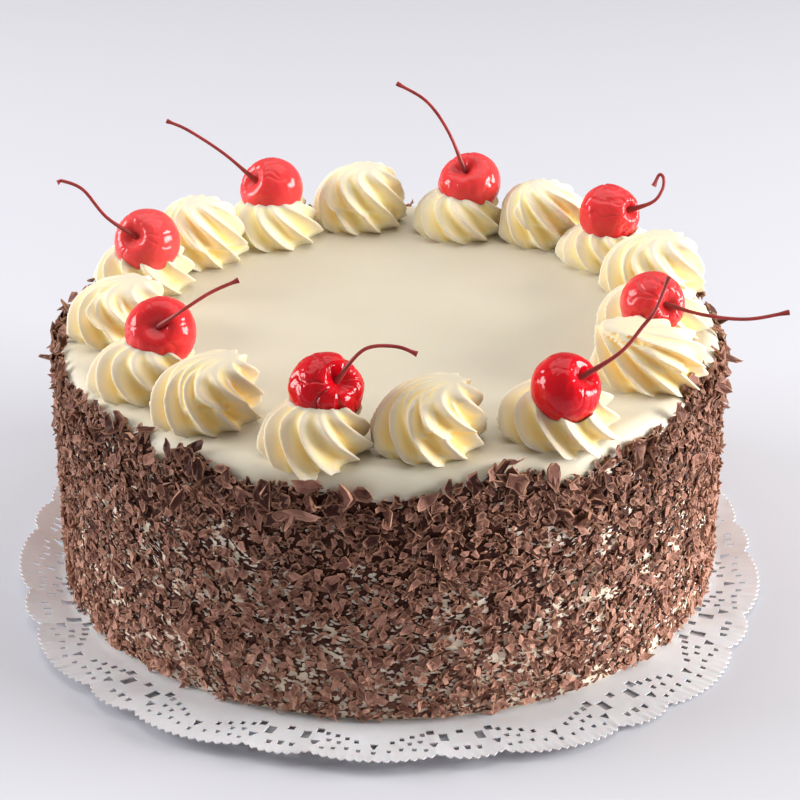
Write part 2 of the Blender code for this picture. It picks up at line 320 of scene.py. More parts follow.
bm.to_mesh(lace_mesh)
bm.free()
lace = new_object("doily_lace", lace_mesh, smooth=False)

tree, inlet, outlet = new_tree("punch_round", Repeats="NodeSocketInt", Punches="NodeSocketObject",
                               Step="NodeSocketFloat", Paper="NodeSocketMaterial")
link = tree.links.new
spots = place(tree, "GeometryNodePoints")
number = place(tree, "GeometryNodeInputIndex")
turned = place(tree, "ShaderNodeMath", {"operation": "MULTIPLY"})
spin = place(tree, "ShaderNodeCombineXYZ")
punch = place(tree, "GeometryNodeObjectInfo")
stamped = place(tree, "GeometryNodeInstanceOnPoints")
real = place(tree, "GeometryNodeRealizeInstances")
cut = place(tree, "GeometryNodeMeshBoolean", {"operation": "DIFFERENCE", "solver": "MANIFOLD"})
kept = place(tree, "GeometryNodeRealizeInstances")
painted = place(tree, "GeometryNodeSetMaterial")
link(inlet.outputs["Repeats"], spots.inputs["Count"])
link(number.outputs["Index"], turned.inputs[0])
link(inlet.outputs["Step"], turned.inputs[1])
link(turned.outputs[0], spin.inputs["Z"])
link(inlet.outputs["Punches"], punch.inputs["Object"])
link(spots.outputs[0], stamped.inputs["Points"])
link(punch.outputs["Geometry"], stamped.inputs["Instance"])
link(spin.outputs[0], stamped.inputs["Rotation"])
link(stamped.outputs[0], real.inputs[0])
link(inlet.outputs["Geometry"], cut.inputs[0])
link(real.outputs[0], cut.inputs[1])
link(cut.outputs[0], kept.inputs[0])
link(kept.outputs[0], painted.inputs["Geometry"])
link(inlet.outputs["Paper"], painted.inputs["Material"])
link(painted.outputs[0], outlet.inputs[0])
run_tree(lace, tree, Repeats=REPEATS, Punches=punch_set, Step=2 * math.pi / REPEATS, Paper=paper_finish)
bpy.data.objects.remove(punch_set)

# turned into place, pressed with its relief and curled at the rim
for vertex in lace.data.vertices:
    x, y, z = vertex.co / MM
    distance = math.hypot(x, y)
    turn = math.atan2(y, x) + math.radians(FIRST_REPEAT)
    offset = REPEATS * (turn - math.radians(FIRST_REPEAT)) / (2 * math.pi)
    edge = 136.0 * rim(offset)
    fuller = 1 + 0.025 * math.sin(2 * turn) ** 2
    x = DOILY_CENTRE[0] + distance * DOILY_REACH[0] / 136.0 * fuller * math.cos(turn)
    y = DOILY_CENTRE[1] + distance * DOILY_REACH[1] / 136.0 * fuller * math.sin(turn)
    azimuth = math.atan2(y - DOILY_CENTRE[1], x - DOILY_CENTRE[0])
    away = math.hypot(x, y)
    reach = math.hypot(DOILY_CENTRE[0] + DOILY_REACH[0] * fuller * rim(offset) * math.cos(turn),
                       DOILY_CENTRE[1] + DOILY_REACH[1] * fuller * rim(offset) * math.sin(turn))
    slope = min(1, max(0, (away - DOILY_FOLD) / (reach - DOILY_FOLD)))
    lift = rim_height(azimuth) * slope
    flute = 0.16 * math.cos(2 * math.pi * BEADS * offset) * max(0, 1 - (edge - distance) / 3.2)
    tuft = 0.18 * noise.noise(Vector((x, y, 0)) * 0.35) * slope
    vertex.co = Vector((x, y, z + max(0, lift + (flute + tuft) * min(1, slope * 3)))) * MM
lace.data.update()
lace.data.shade_smooth()
lace.data.set_sharp_from_angle(angle=math.radians(40))
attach(lace, "root")
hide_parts("doily")

# ---------------------------------------------------------------------------
# The cake. A round cake covered all over in whipped cream, smoothed flat on
# top with a spatula and rounded at the shoulder. Its side is left rough, as
# a bed for the chocolate.

CREAM_TOP = 89.0
SIDE = 113.2
SHOULDER = 6.5
CAKE_FOOT = 0.75

cream_finish, cream_surface, cream_tree = shader(
    "whipped_cream", Roughness=0.5, Subsurface_Weight=0.35, Subsurface_Radius=(1.0, 0.72, 0.36),
    Subsurface_Scale=4 * MM)
clean = ramp(cream_tree, grain(cream_tree, 18, 3, 0.5), (0.3, (0.61, 0.555, 0.435)), (0.7, (0.64, 0.59, 0.47)))
dusty = ramp(cream_tree, grain(cream_tree, 260, 4, 0.6), (0.35, (0.80, 0.63, 0.47)), (0.65, (0.95, 0.82, 0.66)))
cream_height = place(cream_tree, "ShaderNodeSeparateXYZ")
cream_tree.links.new(place(cream_tree, "ShaderNodeTexCoord").outputs["Object"], cream_height.inputs[0])
above = place(cream_tree, "ShaderNodeMapRange", From_Min=68 * MM, From_Max=79 * MM)
cream_tree.links.new(cream_height.outputs["Z"], above.inputs["Value"])
side_or_top = place(cream_tree, "ShaderNodeMix", {"data_type": "RGBA"})
cream_tree.links.new(above.outputs[0], side_or_top.inputs[0])
cream_tree.links.new(dusty, side_or_top.inputs[6])
cream_tree.links.new(clean, side_or_top.inputs[7])
cream_tree.links.new(side_or_top.outputs[2], cream_surface.inputs["Base Color"])
smear = relief(cream_tree, cream_surface, grain(cream_tree, 40, 3, 0.5, (1, 0.35, 1)), 0.8 * MM, 0.25)
relief(cream_tree, cream_surface, grain(cream_tree, 900, 3, 0.6), 0.05 * MM, 0.35, smear)

columns = 288
profile = [(0.0, CREAM_TOP)] + [(r, CREAM_TOP) for r in (12, 26, 40, 52, 62, 70, 76, 82, 88, 94, 99, 103, SIDE - SHOULDER)]
profile += [(SIDE - SHOULDER + SHOULDER * math.sin(a), CREAM_TOP - SHOULDER + SHOULDER * math.cos(a))
            for a in (math.radians(step * 11.25) for step in range(1, 9))]
profile += [(SIDE, CREAM_TOP - SHOULDER - step * 2.0) for step in range(1, 41)]
profile += [(SIDE - 0.4, CAKE_FOOT), (60.0, CAKE_FOOT), (0.0, CAKE_FOOT)]
bm = bmesh.new()
rings = []
for reach, height in profile:
    if reach == 0:
        rings.append([bm.verts.new((0, 0, height * MM))])
        continue
    line = []
    for column in range(columns):
        azimuth = 2 * math.pi * column / columns
        point = Vector((reach * math.cos(azimuth), reach * math.sin(azimuth), height))
        if height > CAKE_FOOT:
            swell = noise.noise(point * 0.022) * 0.35 - 0.25
            rough = noise.noise(point * 0.16) * 0.45 + noise.noise(point * 0.5) * 0.3
            side_share = min(1, max(0, (reach - 104) / 8))
            point.z += swell * (1 - side_share)
            out = Vector((math.cos(azimuth), math.sin(azimuth), 0))
            point += out * rough * side_share * (0.4 if height > CREAM_TOP - SHOULDER else 1.0)
        line.append(bm.verts.new(point * MM))
    rings.append(line)
for upper, lower in zip(rings[:-1], rings[1:]):
    for i in range(columns):
        k = (i + 1) % columns
        if len(upper) == 1:
            bm.faces.new((upper[0], lower[i], lower[k]))
        elif len(lower) == 1:
            bm.faces.new((upper[i], lower[0], upper[k]))
        else:
            bm.faces.new((upper[i], lower[i], lower[k], upper[k]))
bmesh.ops.recalc_face_normals(bm, faces=bm.faces[:])
cake_mesh = bpy.data.meshes.new("cream_cake")
bm.to_mesh(cake_mesh)
bm.free()
cake = new_object("cream_cake", cake_mesh, cream_finish)
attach(cake, "root")
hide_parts("cake_body")

# ---------------------------------------------------------------------------
# The chocolate. Shavings scraped from a block of dark chocolate and pressed
# by hand into the cream of the side, from curled flakes down to crumbs. Cream
# shows between them, and their upper edge is ragged.

COAT_EDGE = 88.0
# (azimuth, spread, how far the edge falls there)
COAT_DIPS = ((-129, 2.5, 5), (-112, 4, 6), (-100, 6, 4), (-90, 6, 6), (-81, 4, 5), (-60, 5, 7), (-50, 6, 4),
             (-38, 8, 2), (-133, 3, -2), (-26, 6, -4), (20, 12, 3), (150, 15, 2), (60, 9, 2), (-175, 14, -2))

chocolate_finish, chocolate_surface, chocolate_tree = shader(
    "shaved_chocolate", Roughness=0.5, Specular_IOR_Level=0.12)
tone = place(chocolate_tree, "ShaderNodeAttribute", {"attribute_name": "tone"})
torn = place(chocolate_tree, "ShaderNodeAttribute", {"attribute_name": "torn"})
toned = place(chocolate_tree, "ShaderNodeMath", {"operation": "MULTIPLY_ADD"})
toned.inputs[1].default_value = 0.80
chocolate_tree.links.new(tone.outputs["Fac"], toned.inputs[0])
mottle = place(chocolate_tree, "ShaderNodeMath", {"operation": "MULTIPLY"})
mottle.inputs[1].default_value = 0.45
chocolate_tree.links.new(grain(chocolate_tree, 640, 5, 0.75), mottle.inputs[0])
chocolate_tree.links.new(mottle.outputs[0], toned.inputs[2])
# The chocolate is painted darker towards the top of the side, as painted shade.
height = place(chocolate_tree, "ShaderNodeSeparateXYZ")
chocolate_tree.links.new(place(chocolate_tree, "ShaderNodeTexCoord").outputs["Object"], height.inputs[0])
darker = place(chocolate_tree, "ShaderNodeMath", {"operation": "MULTIPLY_ADD"})
darker.inputs[1].default_value = -6.5
chocolate_tree.links.new(height.outputs["Z"], darker.inputs[0])
chocolate_tree.links.new(toned.outputs[0], darker.inputs[2])
bare = ramp(chocolate_tree, darker.outputs[0], (0.0, (0.050, 0.015, 0.010)), (0.25, (0.172, 0.073, 0.054)),
            (0.63, (0.320, 0.155, 0.118)), (0.93, (0.50, 0.270, 0.205)))
# Torn edges and the crumbs beside the cream are mixed towards a lighter orange-brown: partly cocoa dust, partly a
# painted highlight on the thin edges of the flakes.
edges = place(chocolate_tree, "ShaderNodeMath", {"operation": "POWER"})
edges.inputs[1].default_value = 2.5
chocolate_tree.links.new(torn.outputs["Fac"], edges.inputs[0])
dust_and_edge_light = place(chocolate_tree, "ShaderNodeMix", {"data_type": "RGBA"})
dust_and_edge_light.inputs[7].default_value = (0.47, 0.25, 0.165, 1)
share = place(chocolate_tree, "ShaderNodeMath", {"operation": "MULTIPLY"})
share.inputs[1].default_value = 0.75
chocolate_tree.links.new(edges.outputs[0], share.inputs[0])
chocolate_tree.links.new(share.outputs[0], dust_and_edge_light.inputs[0])
chocolate_tree.links.new(bare, dust_and_edge_light.inputs[6])
chocolate_tree.links.new(dust_and_edge_light.outputs[2], chocolate_surface.inputs["Base Color"])
relief(chocolate_tree, chocolate_surface, grain(chocolate_tree, 900, 5, 0.7), 0.22 * MM, 0.8)


def on_ring(angle, ring, height=0.0):
    return Vector((ring * math.cos(math.radians(angle)), ring * math.sin(math.radians(angle)), height))


def coat_edge(azimuth):
    """Height of the chocolate's upper edge at an azimuth in degrees."""
    height = COAT_EDGE
    for where, spread, depth in COAT_DIPS:
        away = (azimuth - where + 180) % 360 - 180
        height -= depth * math.exp(-(away / spread) ** 2)
    return height - 1.0 + 2.4 * noise.noise(Vector((azimuth * 0.35, 4.2, 0)))


def web(point):
    """Where the cream shows through, from 0 to 1: short pale veins, more of them low on the side."""
    vein = 1 - min(1, abs(noise.noise(point * 0.33 + Vector((9, 0, 0)))) / 0.085)
    fine = 1 - min(1, abs(noise.noise(point * 0.80 + Vector((0, 5, 0)))) / 0.14)
    region = 0.55 + 0.8 * noise.noise(point * 0.06 + Vector((0, 3, 0))) + 0.40 * (1 - point.z / 45)
    region -= 0.6 * min(1, max(0, (point.z - 58) / 18))
    return min(1, max(0, max(vein, 0.8 * fine) * min(0.9, max(0, region)) * 1.9 - 0.33))


def flake(rng, length, width, thick, corners, curl, inner=0.0):
    """One shaving: a thin torn shard, lying flat on z = 0 and bent along its length."""
    bm = bmesh.new()
    torn_edge = bm.verts.layers.float.new("torn")
    outline = []
    first = rng.uniform(0, 2 * math.pi)
    for corner in range(corners):
        turn = first + 2 * math.pi * (corner + rng.uniform(-0.33, 0.33)) / corners
        reach = rng.uniform(0.5, 1.15)
        outline.append(Vector((length / 2 * reach * math.cos(turn), width / 2 * reach * math.sin(turn), 0)))
    slope = rng.uniform(-0.3, 0.3)

    def vertex(point, side, edge):
        bend = curl * length * (0.30 * (2 * point.x / length) ** 2 + slope * point.x * point.y / length / width)
        drop = rng.uniform(-0.10, 0.10) * width * (1 if inner or edge == 0 else 0.5)
        made = bm.verts.new(Vector((point.x, point.y, bend + drop + side * thick / 2)) * MM)
        made[torn_edge] = edge
        return made

    top = [vertex(p, 1, 1.0) for p in outline]
    low = [vertex(p * 0.93, -1, 1.0) for p in outline]
    rings = [top]
    if inner:
        rings.append([vertex(p * inner * rng.uniform(0.85, 1.1), 1, 0.15) for p in outline])
    crown, base = vertex(Vector(), 1, 0.0), vertex(Vector(), -1, 0.0)
    for i in range(corners):
        k = (i + 1) % corners
        bm.faces.new((top[i], low[i], low[k], top[k]))
        bm.faces.new((base, low[k], low[i]))
        if inner:
            bm.faces.new((rings[0][i], rings[0][k], rings[1][k], rings[1][i]))
        bm.faces.new((rings[-1][i], rings[-1][k], crown))
    bmesh.ops.recalc_face_normals(bm, faces=bm.faces[:])
    made = bpy.data.meshes.new("flake")
    bm.to_mesh(made)
    bm.free()
    return made


def bed(edge_above=0.0, lowest=1.5, reach=SIDE + 0.4, lowest_share=0.0, band=None):
    """The part of the side that is covered, as an open band to scatter on: all of it, or a band under its edge."""
    bm = bmesh.new()
    cover = bm.verts.layers.float.new("cover")
    columns, steps = 480, 60
    lines = []
    for column in range(columns):
        azimuth = 2 * math.pi * column / columns
        high = coat_edge(math.degrees(azimuth)) + edge_above
        low = high - band if band else lowest
        line = []
        for step in range(steps + 1):
            height = low + (high - low) * step / steps
            over = max(0, height - (CREAM_TOP - SHOULDER))
            inward = SHOULDER - math.sqrt(max(0, SHOULDER ** 2 - min(over, SHOULDER) ** 2)) if over else 0
            point = Vector(((reach - inward * 0.6) * math.cos(azimuth),
                            (reach - inward * 0.6) * math.sin(azimuth), height))
            made = bm.verts.new(point * MM)
            made[cover] = 1 - (1 - lowest_share) * web(Vector((SIDE * math.cos(azimuth), SIDE * math.sin(azimuth), height)))
            line.append(made)
        lines.append(line)
    for column in range(columns):
        nxt = (column + 1) % columns
        for step in range(steps):
            bm.faces.new((lines[column][step], lines[nxt][step], lines[nxt][step + 1], lines[column][step + 1]))
    made = bpy.data.meshes.new("bed")
    bm.to_mesh(made)
    bm.free()
    return made


# the finest crumbs are one rough crust, sunk below the cream where it shows as a pale web; the crust is painted
# darker than the flakes, as painted shade in the gaps between them
columns, steps = 640, 130
bm = bmesh.new()
shades = bm.verts.layers.float.new("tone")
torn_edge = bm.verts.layers.float.new("torn")
lines = []
for column in range(columns):
    azimuth = 2 * math.pi * column / columns
    high = coat_edge(math.degrees(azimuth)) - 1.0
    line = []
    for step in range(steps + 1):
        height = 0.8 + (high - 0.8) * step / steps
        point = Vector((SIDE * math.cos(azimuth), SIDE * math.sin(azimuth), height))
        lump = noise.noise(point * 0.55) * 0.7 + noise.noise(point * 1.3) * 0.55
        gap = web(point)
        reach = SIDE + 0.35 + lump - 2.6 * gap - (3.0 if step in (0, steps) else 0)
        over = max(0, height - (CREAM_TOP - SHOULDER))
        reach -= (SHOULDER - math.sqrt(max(0, SHOULDER ** 2 - min(over, SHOULDER) ** 2))) * 0.8
        vertex = bm.verts.new(Vector((reach * math.cos(azimuth), reach * math.sin(azimuth), height)) * MM)
        vertex[shades] = 0.02 + 0.4 * noise.noise(point * 1.1 + Vector((0, 0, 50)))
        vertex[torn_edge] = min(1, 1.2 * gap + 0.5 * max(0, noise.noise(point * 0.9 + Vector((0, 30, 0)))))
        line.append(vertex)
    inner = SIDE - 3.0
    for height in (high, 0.8):
        vertex = bm.verts.new(Vector((inner * math.cos(azimuth), inner * math.sin(azimuth), height)) * MM)
        vertex[shades] = 0.2
        vertex[torn_edge] = 0.0
        line.append(vertex)
    lines.append(line)
for column in range(columns):
    left, right = lines[column], lines[(column + 1) % columns]
    for i in range(len(left)):
        k = (i + 1) % len(left)
        bm.faces.new((left[i], right[i], right[k], left[k]))
bmesh.ops.recalc_face_normals(bm, faces=bm.faces[:])
crust_mesh = bpy.data.meshes.new("crumb_crust")
bm.to_mesh(crust_mesh)
bm.free()
crust = new_object("crumb_crust", crust_mesh, chocolate_finish, smooth=False)
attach(crust, "root")
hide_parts("shaving_coat")

tree, inlet, outlet = new_tree("press_on", Kinds="NodeSocketCollection", Density="NodeSocketFloat",
                               Seed="NodeSocketInt", Tilt="NodeSocketFloat", Smallest="NodeSocketFloat",
                               Largest="NodeSocketFloat", Proud="NodeSocketFloat", Finish="NodeSocketMaterial")
link = tree.links.new
spread = place(tree, "GeometryNodeDistributePointsOnFaces")
kinds = place(tree, "GeometryNodeCollectionInfo", Separate_Children=True, Reset_Children=True)
lean_least = place(tree, "ShaderNodeMath", {"operation": "MULTIPLY"})
lean_least.inputs[1].default_value = -1
least = place(tree, "ShaderNodeCombineXYZ", Z=-math.pi)
most = place(tree, "ShaderNodeCombineXYZ", Z=math.pi)
any_turn = place(tree, "FunctionNodeRandomValue", {"data_type": "FLOAT_VECTOR"})
to_rotation = place(tree, "FunctionNodeEulerToRotation")
turned = place(tree, "FunctionNodeRotateRotation", {"rotation_space": "LOCAL"})
size = place(tree, "FunctionNodeRandomValue", {"data_type": "FLOAT"})
tone_value = place(tree, "FunctionNodeRandomValue", {"data_type": "FLOAT"}, Seed=7)
pressed = place(tree, "GeometryNodeInstanceOnPoints", Pick_Instance=True)
moved = place(tree, "GeometryNodeTranslateInstances", Local_Space=True)
depth = place(tree, "ShaderNodeCombineXYZ")
stored = place(tree, "GeometryNodeStoreNamedAttribute", {"data_type": "FLOAT", "domain": "INSTANCE"}, Name="tone")
real = place(tree, "GeometryNodeRealizeInstances")
painted = place(tree, "GeometryNodeSetMaterial")
link(inlet.outputs["Geometry"], spread.inputs["Mesh"])
covered = place(tree, "GeometryNodeInputNamedAttribute", {"data_type": "FLOAT"}, Name="cover")
thinned = place(tree, "ShaderNodeMath", {"operation": "MULTIPLY"})
link(covered.outputs[0], thinned.inputs[0])
link(inlet.outputs["Density"], thinned.inputs[1])
link(thinned.outputs[0], spread.inputs["Density"])
link(inlet.outputs["Seed"], spread.inputs["Seed"])
link(inlet.outputs["Kinds"], kinds.inputs["Collection"])
link(inlet.outputs["Tilt"], lean_least.inputs[0])
for axis in "XY":
    link(lean_least.outputs[0], least.inputs[axis])
    link(inlet.outputs["Tilt"], most.inputs[axis])
link(least.outputs[0], any_turn.inputs["Min"])
link(most.outputs[0], any_turn.inputs["Max"])
link(inlet.outputs["Seed"], any_turn.inputs["Seed"])
link(any_turn.outputs["Value"], to_rotation.inputs[0])
link(spread.outputs["Rotation"], turned.inputs["Rotation"])
link(to_rotation.outputs[0], turned.inputs["Rotate By"])
size_low, size_high = [s for s in size.inputs if s.name in ("Min", "Max") and s.type == "VALUE"]
link(inlet.outputs["Smallest"], size_low)
link(inlet.outputs["Largest"], size_high)
link(spread.outputs["Points"], pressed.inputs["Points"])
link(kinds.outputs[0], pressed.inputs["Instance"])
link(turned.outputs[0], pressed.inputs["Rotation"])
link([s for s in size.outputs if s.type == "VALUE"][0], pressed.inputs["Scale"])
proud = place(tree, "FunctionNodeRandomValue", {"data_type": "FLOAT"}, Seed=23)
proud_low, proud_high = [s for s in proud.inputs if s.name in ("Min", "Max") and s.type == "VALUE"]
proud_low.default_value = -0.5 * MM
link(inlet.outputs["Proud"], proud_high)
link([s for s in proud.outputs if s.type == "VALUE"][0], depth.inputs["Z"])
link(pressed.outputs[0], moved.inputs["Instances"])
link(depth.outputs[0], moved.inputs["Translation"])
link(moved.outputs[0], stored.inputs["Geometry"])
link([s for s in tone_value.outputs if s.type == "VALUE"][0], stored.inputs["Value"])
link(stored.outputs[0], real.inputs[0])
link(real.outputs[0], painted.inputs["Geometry"])
link(inlet.outputs["Finish"], painted.inputs["Material"])
link(painted.outputs[0], outlet.inputs[0])


def shavings(name, seed, kinds_made, surface, density, tilt, smallest, largest, proud):
    """Press one kind of shaving into the side."""
    stock = bpy.data.collections.new(name + "_stock")
    scene.collection.children.link(stock)
    for index, mesh in enumerate(kinds_made):
        stock.objects.link(bpy.data.objects.new(f"{name}_{index:02d}", mesh))
    piece = new_object(name, surface, smooth=False)
    run_tree(piece, tree, Kinds=stock, Density=density, Seed=seed, Tilt=tilt, Smallest=smallest,
             Largest=largest, Proud=proud * MM, Finish=chocolate_finish)
    for spare in list(stock.objects):
        bpy.data.objects.remove(spare)
    bpy.data.collections.remove(stock)
    piece.data.shade_flat()
    for vertex in piece.data.vertices:
        vertex.co.z = max(vertex.co.z, 0.1 * MM)
    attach(piece, "root")
    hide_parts("shaving_coat")
    return piece


rng = random.Random(11)
flakes = [flake(rng, rng.uniform(7.0, 12.0), rng.uniform(4.0, 7.0), rng.uniform(0.3, 0.55), 8, rng.uniform(-0.9, 1.1), 0.72)
          for _ in range(16)]
shavings("flakes_rim", 4, flakes, bed(1.5, 1.5, SIDE + 1.2, 0.5, 16), 36000, 0.85, 0.5, 1.0, 1.4)
shavings("flakes_large", 3, flakes, bed(-4.0, 3.0, SIDE + 0.9, 0.3), 32000, 0.38, 0.35, 0.75, 1.3)
flakes = [flake(rng, rng.uniform(3.4, 6.2), rng.uniform(2.0, 4.0), rng.uniform(0.3, 0.5), rng.choice((5, 5, 6)),
                rng.uniform(-0.9, 1.0)) for _ in range(24)]
shavings("flakes_medium", 5, flakes, bed(0.2, 1.8, SIDE + 0.8, 0.08), 135000, 0.45, 0.6, 1.15, 1.3)
flakes = [flake(rng, rng.uniform(2.0, 3.6), rng.uniform(0.9, 1.9), rng.uniform(0.25, 0.5), 4,
                rng.uniform(-0.9, 0.9)) for _ in range(16)]
shavings("flakes_small", 8, flakes, bed(0.4, 1.6, SIDE + 0.9, 0.12), 150000, 0.90, 0.5, 1.05, 1.4)

# a few big shards and curls stand up at the edge
# (azimuth, height, length, width, lean outwards, roll, curl, tone)
SHARDS = ((-122.5, 84, 11, 6, 8, 8, 0.1, 0.2), (-120.5, 84.5, 10.5, 7, 4, -14, 0.1, 0.15), (-126.5, 87, 9, 4.5, 10, 20, 0.2, 0.5),
          (-109.5, 80, 12, 7.5, 6, 4, 0.1, 0.3), (-102.5, 74, 15, 3.2, 24, 82, 0.9, 1.3), (-98.5, 77, 8.5, 8, 14, 40, 0.1, 0.2),
          (-93.5, 83, 9, 6, -8, 70, 0.3, 0.5), (-84, 81, 8, 5, 14, -40, 0.6, 0.9), (-77, 85, 8.5, 6.5, 10, 8, 0.2, 0.35),
          (-70, 84, 9, 7, 10, 30, 0.5, 0.6), (-64, 84, 11, 5, 6, 5, 0.7, 0.7), (-47, 83, 12, 9, 8, -20, 0.1, 0.5),
          (-140, 86, 9, 6, 12, 30, 0.2, 0.4), (-36, 88, 9, 6, 12, 10, 0.3, 0.6), (-160, 84, 10, 5, 8, 10, 0.3, 0.5),
          (-170, 62, 11, 6, 14, 30, 0.3, 0.5), (-9, 84, 13, 4, 62, 8, 0.3, 0.5), (-16, 74, 8, 4, 45, -12, 0.4, 0.6))
bm = bmesh.new()
shades = bm.verts.layers.float.new("tone")
torn_edge = bm.verts.layers.float.new("torn")
for azimuth, height, length, width, out, roll, curl, shade in SHARDS:
    known = len(bm.verts)
    bm.from_mesh(flake(rng, length, width, 0.6, 9, curl, 0.75))
    bm.verts.ensure_lookup_table()
    turn = (Matrix.Rotation(math.radians(azimuth), 4, "Z") @ Matrix.Rotation(math.radians(90 - out), 4, "Y")
            @ Matrix.Rotation(math.radians(roll), 4, "Z"))
    for vertex in bm.verts[known:]:
        vertex.co = turn @ vertex.co + on_ring(azimuth, SIDE + 2.2, height) * MM
        vertex[shades] = shade
shard_mesh = bpy.data.meshes.new("flakes_standing")
bm.to_mesh(shard_mesh)
bm.free()
shards = new_object("flakes_standing", shard_mesh, chocolate_finish, smooth=False)
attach(shards, "root")
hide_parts("shaving_coat")

# ---------------------------------------------------------------------------
# The piped swirls. Sixteen rosettes of stiff cream, squeezed from a star
# nozzle in a little more than one turn, so that sharp ridges sweep up to a
# tip and the end of each coil laps over its start. They touch their
# neighbours, and every second one is pressed open by its cherry.

# (angle, ring, width, height, first ridge, lean, lap, lift of the lap)
SWIRLS = (
    (-103, 99, 39, 17, -95, (4, 1), -150, 5), (-82.5, 93, 40, 21, -75, (8, 3), -108, 9),
    (-57, 98, 43, 16, -110, (2, 1), -150, 5), (-26.5, 96, 42, 18, -60, (-16, 2), -95, 8),
    (-3.5, 90, 42, 16, -130, (1, 0), -140, 5), (17.5, 97, 41, 20, -100, (5, 2), -140, 7),
    (35.5, 97, 40, 13.5, -70, (0, 0), -150, 5), (54, 97, 37, 21, -120, (-3, 0), -150, 7),
    (73, 89, 38, 16, -85, (0, 0), -150, 5), (97, 95, 38.5, 22, -125, (4, 0), -160, 8),
    (119, 89, 40, 16, -60, (0, 0), -150, 5), (139, 91, 37, 22, -90, (-2, 0), -140, 7),
    (159, 93, 40, 16, -70, (2, 0), -160, 5), (-175, 92, 40, 19, -110, (7, 2), -140, 7),
    (-147.5, 94, 40, 16, -85, (3, 0), -150, 5), (-128.5, 93, 39, 20, -75, (8, 3), -112, 9))
# (swirl, angle, ring, height above the cream, width)
CHERRY_SEATS = {1: (-102, 91.5, 17, 24), 3: (-58, 104, 17, 22.5), 5: (-14.5, 90.5, 17, 21.5),
                7: (35.5, 98, 17, 22.5), 9: (71.5, 93, 17, 23.5), 11: (118, 93, 17, 23.5),
                13: (160, 90.5, 17, 23.5), 15: (-148, 87, 17, 23.5)}

swirl_finish, swirl_surface, swirl_tree = shader(
    "piped_cream", Roughness=0.5, Specular_IOR_Level=0.2, Subsurface_Weight=0.45, Subsurface_Radius=(1.0, 0.70, 0.35),
    Subsurface_Scale=3 * MM)
# The cream is painted a deeper, warmer yellow in the grooves and duller on the crests, as painted shade.
groove_depth = place(swirl_tree, "ShaderNodeAttribute", dict(attribute_name="hollow"))
front = ramp(swirl_tree, groove_depth.outputs["Fac"], (0.20, (0.62, 0.55, 0.43)), (0.45, (0.75, 0.645, 0.405)), (0.62, (0.83, 0.67, 0.34)), (0.85, (0.86, 0.64, 0.24)))
back = ramp(swirl_tree, groove_depth.outputs["Fac"], (0.20, (0.73, 0.67, 0.53)), (0.45, (0.88, 0.80, 0.56)), (0.62, (0.95, 0.84, 0.50)), (0.85, (0.97, 0.80, 0.36)))
# The swirls towards the front of the cake are painted darker than those at the back, as painted shade.
where = place(swirl_tree, "ShaderNodeSeparateXYZ")
swirl_tree.links.new(place(swirl_tree, "ShaderNodeTexCoord").outputs["Object"], where.inputs[0])
further = place(swirl_tree, "ShaderNodeMapRange", From_Min=-90 * MM, From_Max=60 * MM)
swirl_tree.links.new(where.outputs["Y"], further.inputs["Value"])
by_place = place(swirl_tree, "ShaderNodeMix", {"data_type": "RGBA"})
swirl_tree.links.new(further.outputs[0], by_place.inputs[0])
swirl_tree.links.new(front, by_place.inputs[6])
swirl_tree.links.new(back, by_place.inputs[7])
swirl_tree.links.new(by_place.outputs[2], swirl_surface.inputs["Base Color"])
relief(swirl_tree, swirl_surface, grain(swirl_tree, 700, 3, 0.6), 0.05 * MM, 0.35)


def ease(x):
    x = min(1, max(0, x))
    return x * x * (3 - 2 * x)


def coil(bm, centre, ridges, width, height, start, twist, depth, lean, lap=None, lift=0):
    """One turn of the nozzle: a star outline that twists as it narrows upwards."""
    rows, per = 44, ridges * 12
    grid = []
    for i in range(rows + 1):
        share = i / rows
        line = []
        for j in range(per):
            beta = 2 * math.pi * j / per
            phase = ridges * beta / 2
            groove = abs(math.sin(phase + 0.15 * math.sin(2 * phase))) ** 1.45
            wave = Vector((2.2 * math.cos(beta), 2.2 * math.sin(beta), 1.5 * share)) + centre * 0.3
            azimuth = math.radians(start - twist * share ** 0.75) + beta + 0.10 * (1 - groove) * (1 - share)
            azimuth += 0.07 * noise.noise(wave)
            up = share * math.pi / 2
            foot = 0
            reach = width / 2 * math.cos(up) ** 0.54 * (1 + 0.07 * noise.noise(wave + Vector((0, 0, 9))))
            if lap is not None:
                turn = ((math.degrees(azimuth) - lap) % 360) / 360
                over = ease(turn / 0.04) * (1 - ease((turn - 0.30) / 0.50))
                foot = lift * (1 - 0.75 * ease(turn / 0.6))
                reach *= 0.80 + 0.28 * over
            z = foot + (height - foot) * math.sin(up) ** 1.05
            reach *= 1 - (0.16 if lap is None else 0.30) * (1 - ease((z - foot) / 3.0))
            reach *= 1 - depth * groove * (1 - 0.1 * share) * (0.6 + 0.4 * ease(share / 0.2))
            drawn = 0.4 * share ** 2 + 0.6 * share ** 4
            point = Vector((lean[0] * drawn + reach * math.cos(azimuth), lean[1] * drawn + reach * math.sin(azimuth),
                            z - 0.6 * (1 - share) ** 8))
            line.append(bm.verts.new((centre + point) * MM))
        grid.append(line)
    for i in range(rows):
        for j in range(per):
            k = (j + 1) % per
            bm.faces.new((grid[i][j], grid[i][k], grid[i + 1][k], grid[i + 1][j]))
    bm.faces.new(grid[0][::-1])
    bm.faces.new(grid[-1])


